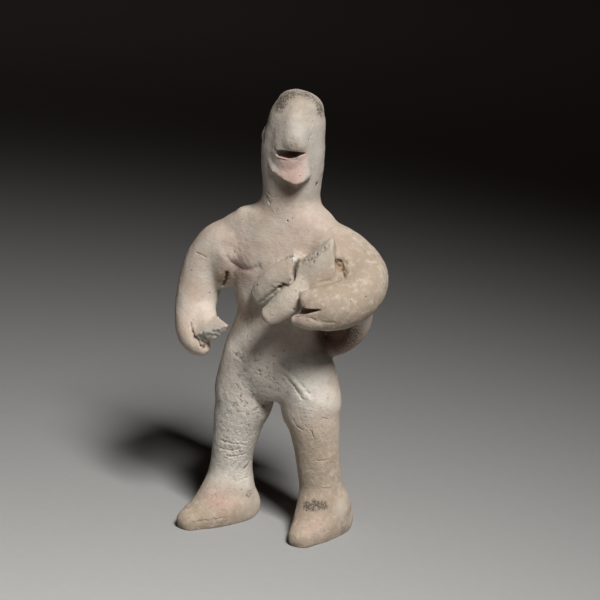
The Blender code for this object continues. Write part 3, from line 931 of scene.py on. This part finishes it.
def refine_near(mesh, lines, pits):
    """Split the faces close to the lines and pits, so that thin cracks fit on them."""
    for level in range(CREASE_REFINEMENTS):
        spots = places_of(mesh) / MILLIMETRE
        reach = CREASE_REACH / 2.0 ** level
        near = np.zeros(len(spots), bool)
        for half_width, _rise, _dark, line in lines:
            if half_width < WIDE_STROKE:
                near |= distance_to_line(spots, line) < reach + half_width
        for place, radius, _rise in pits:
            near |= np.linalg.norm(spots - place, axis=1) < min(reach, PIT_REACH) + radius
        shape = bmesh.new()
        shape.from_mesh(mesh)
        edges = [edge for edge in shape.edges if all(near[point.index] for point in edge.verts)]
        bmesh.ops.subdivide_edges(shape, edges=edges, cuts=1, use_grid_fill=True)
        shape.to_mesh(mesh)
        shape.free()


def zone_strength(spots, zone):
    """Strength of one colour zone at each spot, from 0 to 1."""
    strength = np.zeros(len(spots))
    for place, radius, amount in zone:
        gap = np.linalg.norm(spots - np.array(place), axis=1) / radius
        strength += amount * np.exp(-gap ** 2)
    return np.clip(strength, 0.0, 1.0)


def add_value(mesh, name, values):
    """Keep a number per point, which the material reads by name."""
    attribute = mesh.attributes.new(name, "FLOAT", "POINT")
    attribute.data.foreach_set("value", values.astype(np.float32))


def work_clay(mesh, low, high):
    """Press, scar and crack the skin, and keep where its colours and its painted shade change."""
    corners = [Vector(place) for place in places_of(mesh)]
    skin = BVHTree.FromPolygons(corners, [tuple(face.vertices) for face in mesh.polygons])
    lines = [(*stroke[:3], laid_on(skin, stroke[3])) for stroke in STROKES.values()]
    pits = [(np.array(laid_on(skin, (dent[0], dent[0]))[0]), *dent[1:]) for dent in DENTS.values()]
    refine_near(mesh, lines, pits)
    places = places_of(mesh)
    spots = places / MILLIMETRE
    loose = wandering(spots)
    height = np.zeros(len(spots))
    for period, amount in SWELLS:
        height += amount * soft_noise(spots, period)
    rough = np.zeros(len(spots))
    for place, radius, amount in SCARS.values():
        gap = np.linalg.norm(loose - np.array(place), axis=1) / radius
        rough += amount * np.exp(-gap ** 4)
    height += rough * soft_noise(spots, SCAR_PERIOD)
    broken = np.clip(BREAK_MIDDLE + BREAK_SWING * soft_noise(spots, BREAK_PERIOD), *BREAK_RANGE)
    coarse = zone_strength(loose, ZONES["coarse"])
    height += COARSE_GRAIN * coarse * soft_noise(spots, COARSE_PERIOD)
    # Darkness of the painted shade in cracks, creases and small pits.
    darkness = np.zeros(len(spots))
    for half_width, rise, dark, line in lines:
        share = np.exp(-(distance_to_line(loose, line) / half_width) ** 2)
        if half_width < THIN_STROKE:
            share *= broken
        height += rise * share
        darkness = np.maximum(darkness, dark * share)
    for place, radius, rise in pits:
        share = np.exp(-(np.linalg.norm(spots - place, axis=1) / radius) ** 2)
        height += rise * share
        if rise < 0.0 and radius < SMALL_PIT:
            darkness = np.maximum(darkness, share * min(1.0, -PIT_DARKNESS * rise))
    height *= np.clip(spots[:, 2] / SOLE_CALM, 0.0, 1.0)
    places += normals_of(mesh) * height[:, None] * MILLIMETRE
    places = np.clip(places, np.array(low), np.array(high))
    move_to(mesh, places)
    add_value(mesh, "crack", darkness)
    add_value(mesh, "scar", np.clip(rough / FULL_SCAR, 0.0, 1.0))
    for name, zone in ZONES.items():
        add_value(mesh, name, zone_strength(loose, zone))


def thin_out(target, low, high):
    """Merge the flattest triangles until few enough are left, and stay in the box."""
    target.data.calc_loop_triangles()
    thinning = target.modifiers.new("thinning", "DECIMATE")
    thinning.ratio = MOST_TRIANGLES / len(target.data.loop_triangles)
    thinning.use_collapse_triangulate = True
    bake(target)
    move_to(target.data, np.clip(places_of(target.data), low, high))


class ClayNodes:
    """Short ways to add the nodes of a procedural clay material."""

    def __init__(self, name):
        self.material = bpy.data.materials.new(name)
        self.material.use_nodes = True
        self.tree = self.material.node_tree
        self.shader = self.tree.nodes["Principled BSDF"]
        self.place = self.tree.nodes.new("ShaderNodeTexCoord").outputs["Object"]

    def link(self, source, target):
        """Join an output socket to an input socket."""
        self.tree.links.new(source, target)

    def stretched(self, scale):
        """The place on the object with each axis scaled by its own number."""
        mapping = self.tree.nodes.new("ShaderNodeMapping")
        mapping.inputs["Scale"].default_value = scale
        self.link(self.place, mapping.inputs["Vector"])
        return mapping.outputs["Vector"]

    def noise(self, period, detail=4.0, roughness=0.6, vector=None):
        """Random value from 0 to 1 that changes over a period in metres."""
        node = self.tree.nodes.new("ShaderNodeTexNoise")
        node.inputs["Scale"].default_value = 1.0 / period
        node.inputs["Detail"].default_value = detail
        node.inputs["Roughness"].default_value = roughness
        self.link(vector or self.place, node.inputs["Vector"])
        return node.outputs["Fac"]

    def dots(self, period, size):
        """1 in small round dots, and 0 between them; size is a share of the period."""
        cells = self.tree.nodes.new("ShaderNodeTexVoronoi")
        cells.inputs["Scale"].default_value = 1.0 / period
        self.link(self.place, cells.inputs["Vector"])
        return self.ramp(cells.outputs["Distance"], size, size * 0.45)

    def value(self, name):
        """A number that was kept on the mesh's points."""
        node = self.tree.nodes.new("ShaderNodeAttribute")
        node.attribute_name = name
        return node.outputs["Fac"]

    def ramp(self, source, start, end, low=0.0, high=1.0):
        """source stretched so that start gives low and end gives high, with no overshoot."""
        node = self.tree.nodes.new("ShaderNodeMapRange")
        node.inputs["From Min"].default_value = start
        node.inputs["From Max"].default_value = end
        node.inputs["To Min"].default_value = low
        node.inputs["To Max"].default_value = high
        self.link(source, node.inputs["Value"])
        return node.outputs["Result"]

    def math(self, operation, first, second):
        """Sum, product or the like of two sources or numbers."""
        node = self.tree.nodes.new("ShaderNodeMath")
        node.operation = operation
        for socket, source in zip(node.inputs, (first, second)):
            if isinstance(source, float):
                socket.default_value = source
            else:
                self.link(source, socket)
        return node.outputs["Value"]

    def mix(self, share, first, second):
        """Two colours mixed, where each is a source or fixed numbers."""
        node = self.tree.nodes.new("ShaderNodeMix")
        node.data_type = "RGBA"
        self.link(share, node.inputs["Factor"])
        for place, source in ((FIRST_COLOUR, first), (SECOND_COLOUR, second)):
            socket = node.inputs[place]
            if isinstance(source, tuple):
                socket.default_value = source
            else:
                self.link(source, socket)
        return node.outputs[MIXED_COLOUR]

    def bump(self, height, strength, depth, below=None):
        """Normal bent by a height from 0 to 1 that stands for a depth in metres."""
        node = self.tree.nodes.new("ShaderNodeBump")
        node.inputs["Strength"].default_value = strength
        node.inputs["Distance"].default_value = depth
        self.link(height, node.inputs["Height"])
        if below is not None:
            self.link(below, node.inputs["Normal"])
        return node.outputs["Normal"]


def clay_material():
    """Mottled, dusty fired clay with stains, pinholes and fine grain, with painted shade in recesses and
    cracks and a painted highlight on the ear.
    """
    clay = ClayNodes("worn_clay")
    patches = clay.noise(PATCH_PERIOD, 5.0, 0.62)
    colour = clay.mix(clay.ramp(patches, 0.36, 0.64), WARM_CLAY, PALE_CLAY)
    edges = clay.noise(EDGE_PERIOD, 6.0, 0.7)
    # The tan zone also holds painted shade, and the chalk zone a painted highlight.
    for name, tint, reach in (
        ("grey", GREY_CLAY, 0.9),
        ("tan_and_shade", TAN_CLAY_AND_SHADE, 0.9),
        ("pink", PINK_CLAY, 0.95),
        ("chalk_and_highlight", CHALK_AND_HIGHLIGHT_COLOUR, 0.8),
        ("held", HELD_CLAY, 0.85),
        ("ash", ASH, 0.9),
        ("rust", RUST, 0.8),
    ):
        broken = clay.math("MULTIPLY", clay.value(name), clay.ramp(edges, 0.34, 0.58, 0.35, 1.25))
        share = clay.ramp(broken, 0.05, 0.95, 0.0, reach)
        colour = clay.mix(share, colour, tint)
    coarse = clay.value("coarse")
    dust = clay.noise(DUST_PERIOD, 4.0, 0.7)
    dusty = clay.math("MULTIPLY", clay.ramp(dust, 0.45, 0.75), clay.ramp(coarse, 0.0, 1.0, 0.14, 0.2))
    colour = clay.mix(dusty, colour, DUST_SHADE)
    flecks = clay.noise(FLECK_PERIOD, 3.0, 0.75)
    colour = clay.mix(clay.ramp(flecks, 0.60, 0.78, 0.0, 0.22), colour, CHALK_AND_HIGHLIGHT_COLOUR)
    colour = clay.mix(clay.ramp(flecks, 0.40, 0.22, 0.0, 0.7), colour, DUST_SHADE)
    # Soot marks, and painted shade in the recess behind the left elbow.
    soot_and_shade_share = clay.math("MULTIPLY", clay.value("soot_and_shade"), clay.ramp(flecks, 0.36, 0.60, 0.15, 1.5))
    colour = clay.mix(clay.ramp(soot_and_shade_share, 0.2, 0.7, 0.0, 0.85), colour, SOOT_AND_SHADE_COLOUR)
    pitted = clay.math("MULTIPLY", clay.ramp(dust, 0.41, 0.33), coarse)
    colour = clay.mix(clay.ramp(pitted, 0.0, 1.0, 0.0, 0.5), colour, DUST_SHADE)
    scarred = clay.math("MULTIPLY", clay.value("scar"), clay.ramp(edges, 0.42, 0.62, 0.0, 0.35))
    colour = clay.mix(scarred, colour, SCAR_SHADE)
    holes = clay.dots(PINHOLE_PERIOD, PINHOLE_SIZE)
    pinholes = clay.math("MULTIPLY", holes, clay.ramp(patches, 0.40, 0.55))
    colour = clay.mix(clay.math("MULTIPLY", pinholes, 0.8), colour, PINHOLE_SHADE)
    # Painted shade in the mouth, the finger gap, the recess behind the left elbow and under the chin.
    colour = clay.mix(clay.ramp(clay.value("painted_shade"), 0.1, 0.9, 0.0, 0.9), colour, PAINTED_SHADE_COLOUR)
    # Painted shade in cracks, creases and small pits.
    crack = clay.ramp(clay.value("crack"), 0.15, 0.85, 0.0, 0.88)
    colour = clay.mix(crack, colour, PAINTED_CRACK_SHADE)
    clay.link(colour, clay.shader.inputs["Base Color"])
    clay.link(clay.ramp(edges, 0.3, 0.7, 0.82, 0.97), clay.shader.inputs["Roughness"])
    clay.shader.inputs["Specular IOR Level"].default_value = CLAY_SHINE
    wiped = clay.noise(WIPE_PERIOD, 3.0, 0.6, clay.stretched(WIPE_STRETCH))
    rough = clay.ramp(coarse, 0.0, 1.0, 0.42, 1.0)
    normal = clay.bump(wiped, 0.35, WIPE_DEPTH)
    normal = clay.bump(clay.math("MULTIPLY", flecks, rough), 1.0, FLECK_DEPTH, normal)
    normal = clay.bump(clay.math("MULTIPLY", dust, rough), 1.0, DUST_DEPTH, normal)
    normal = clay.bump(clay.ramp(pitted, 0.0, 1.0, 1.0, 0.0), 0.8, PIT_DEPTH, normal)
    normal = clay.bump(clay.ramp(pinholes, 0.0, 1.0, 1.0, 0.0), 0.8, PIT_DEPTH, normal)
    clay.link(normal, clay.shader.inputs["Normal"])
    return clay.material


def floor_material():
    """Plain pale card with the faintest grain."""
    card = ClayNodes("pale_card")
    grain = card.noise(CARD_GRAIN_PERIOD, 3.0, 0.5)
    card.link(card.mix(grain, FLOOR_COLOUR, FLOOR_GRAIN), card.shader.inputs["Base Color"])
    card.shader.inputs["Roughness"].default_value = CARD_ROUGHNESS
    card.shader.inputs["Specular IOR Level"].default_value = CARD_SHINE
    return card.material


def build_figure(collection):
    """The man's skin as one closed mesh, before the relief is worked in."""
    body = make_object(
        "clay_man",
        (
            loft(TRUNK, SIDEWAYS, dome=TOP_DOME),
            loft(FACE, FACE_ACROSS, dome=FLAT_DOME),
            loft(NOSE, FACE_ACROSS, dome=FLAT_DOME),
            loft(RIGHT_LEG, SIDEWAYS),
            loft(LEFT_LEG, SIDEWAYS),
            loft(RIGHT_FOOT, RIGHT_TOE_ACROSS, squareness=FOOT_SQUARENESS),
            loft(LEFT_FOOT, LEFT_TOE_ACROSS, squareness=FOOT_SQUARENESS),
            loft(RIGHT_INSTEP, RIGHT_TOE_ACROSS, dome=FLAT_DOME),
            loft(LEFT_INSTEP, LEFT_TOE_ACROSS, dome=FLAT_DOME),
            loft(RIGHT_ARM, FORWARDS),
            loft(SHOULDER_SLOPE, FORWARDS),
            loft(ARMPIT, SIDEWAYS, dome=FLAT_DOME),
            loft(LEFT_ARM, UPWARDS),
            loft(CROOK, SIDEWAYS),
            loft(SHELF, SLAB_ACROSS),
        ),
        collection,
    )
    fuse(body, COARSE_VOXEL, COARSE_SMOOTHING)
    bake(body)
    detailed = make_object(
        "clay_man_detailed",
        (
            skin_of(body),
            hull(CHIN),
            loft(EAR, FORWARDS),
            loft(REAR_LOBE, LOBE_ACROSS),
            loft(FRONT_LOBE, LOBE_ACROSS),
            loft(HELD_CORE, FACE_ACROSS),
            hull(WING),
            hull(SLAB),
            loft(HIND_PART, SIDEWAYS),
            loft(HIND_WEB, SIDEWAYS),
            loft(FINGERS, UPWARDS),
            loft(THUMB, UPWARDS),
        ),
        collection,
    )
    fuse(detailed, FINE_VOXEL, FINE_SMOOTHING)
    cutters = []
    for name, stations in (("mouth", MOUTH), ("finger_gap", FINGER_GAP)):
        skin = loft(stations, UPWARDS, dome=FLAT_DOME)
        cutter = make_object(name + "_cutter", (skin,), collection)
        cutters.append(cutter)
        cut = detailed.modifiers.new(name, "BOOLEAN")
        cut.operation = "DIFFERENCE"
        cut.solver = "EXACT"
        cut.object = cutter
    bake(detailed)
    body.data = detailed.data
    for used in (detailed, *cutters):
        bpy.data.objects.remove(used)
    flatten_soles(body)
    return body


def add_floor(collection):
    """Wide pale floor, which also makes the background."""
    half = FLOOR_SIZE / 2.0
    mesh = bpy.data.meshes.new("floor")
    corners = [(-half, -half, 0.0), (half, -half, 0.0), (half, half, 0.0), (-half, half, 0.0)]
    mesh.from_pydata(corners, [], [(0, 1, 2, 3)])
    mesh.materials.append(floor_material())
    floor = bpy.data.objects.new("floor", mesh)
    collection.objects.link(floor)


def add_light(name, place, aim, size, spread, power, colour, collection):
    """Soft square light at a place, turned towards its aim."""
    lamp = bpy.data.lights.new(name, "AREA")
    lamp.size = size
    lamp.energy = power
    lamp.color = colour
    lamp.spread = math.radians(spread)
    light = bpy.data.objects.new(name, lamp)
    light.location = place
    light.rotation_mode = "QUATERNION"
    light.rotation_quaternion = (Vector(aim) - Vector(place)).to_track_quat("-Z", "Y")
    collection.objects.link(light)


def add_camera(collection):
    """Camera at the photograph's viewing angle."""
    turn = math.radians(VIEW_AZIMUTH)
    rise = math.radians(VIEW_ELEVATION)
    back = Vector((
        math.sin(turn) * math.cos(rise),
        -math.cos(turn) * math.cos(rise),
        math.sin(rise),
    ))
    lens = bpy.data.cameras.new("camera")
    lens.lens = VIEW_LENS
    lens.clip_start = 0.01
    lens.clip_end = 20.0
    camera = bpy.data.objects.new("camera", lens)
    camera.location = VIEW_TARGET + back * VIEW_DISTANCE
    camera.rotation_mode = "QUATERNION"
    camera.rotation_quaternion = (-back).to_track_quat("-Z", "Y")
    collection.objects.link(camera)
    bpy.context.scene.camera = camera


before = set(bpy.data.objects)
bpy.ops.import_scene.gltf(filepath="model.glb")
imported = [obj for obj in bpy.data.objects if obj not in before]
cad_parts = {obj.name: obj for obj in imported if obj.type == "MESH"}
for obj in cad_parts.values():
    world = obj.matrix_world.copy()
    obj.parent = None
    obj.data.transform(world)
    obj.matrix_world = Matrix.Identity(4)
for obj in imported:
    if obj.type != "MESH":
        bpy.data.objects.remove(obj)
cad_low, cad_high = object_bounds()

studio = bpy.context.scene.collection
figure = build_figure(studio)
fit_box(figure.data, cad_low, cad_high)
work_clay(figure.data, cad_low, cad_high)
thin_out(figure, cad_low, cad_high)
figure.data.shade_smooth()
figure.data.materials.clear()
figure.data.materials.append(clay_material())
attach(figure, "root")
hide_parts("figurine")

add_floor(studio)
for light_name, settings in LIGHTS.items():
    add_light(light_name, *settings, studio)
world = bpy.data.worlds.new("room")
world.use_nodes = True
world.node_tree.nodes["Background"].inputs["Color"].default_value = ROOM_LIGHT
bpy.context.scene.world = world
bpy.context.scene.view_settings.view_transform = "Standard"
add_camera(studio)
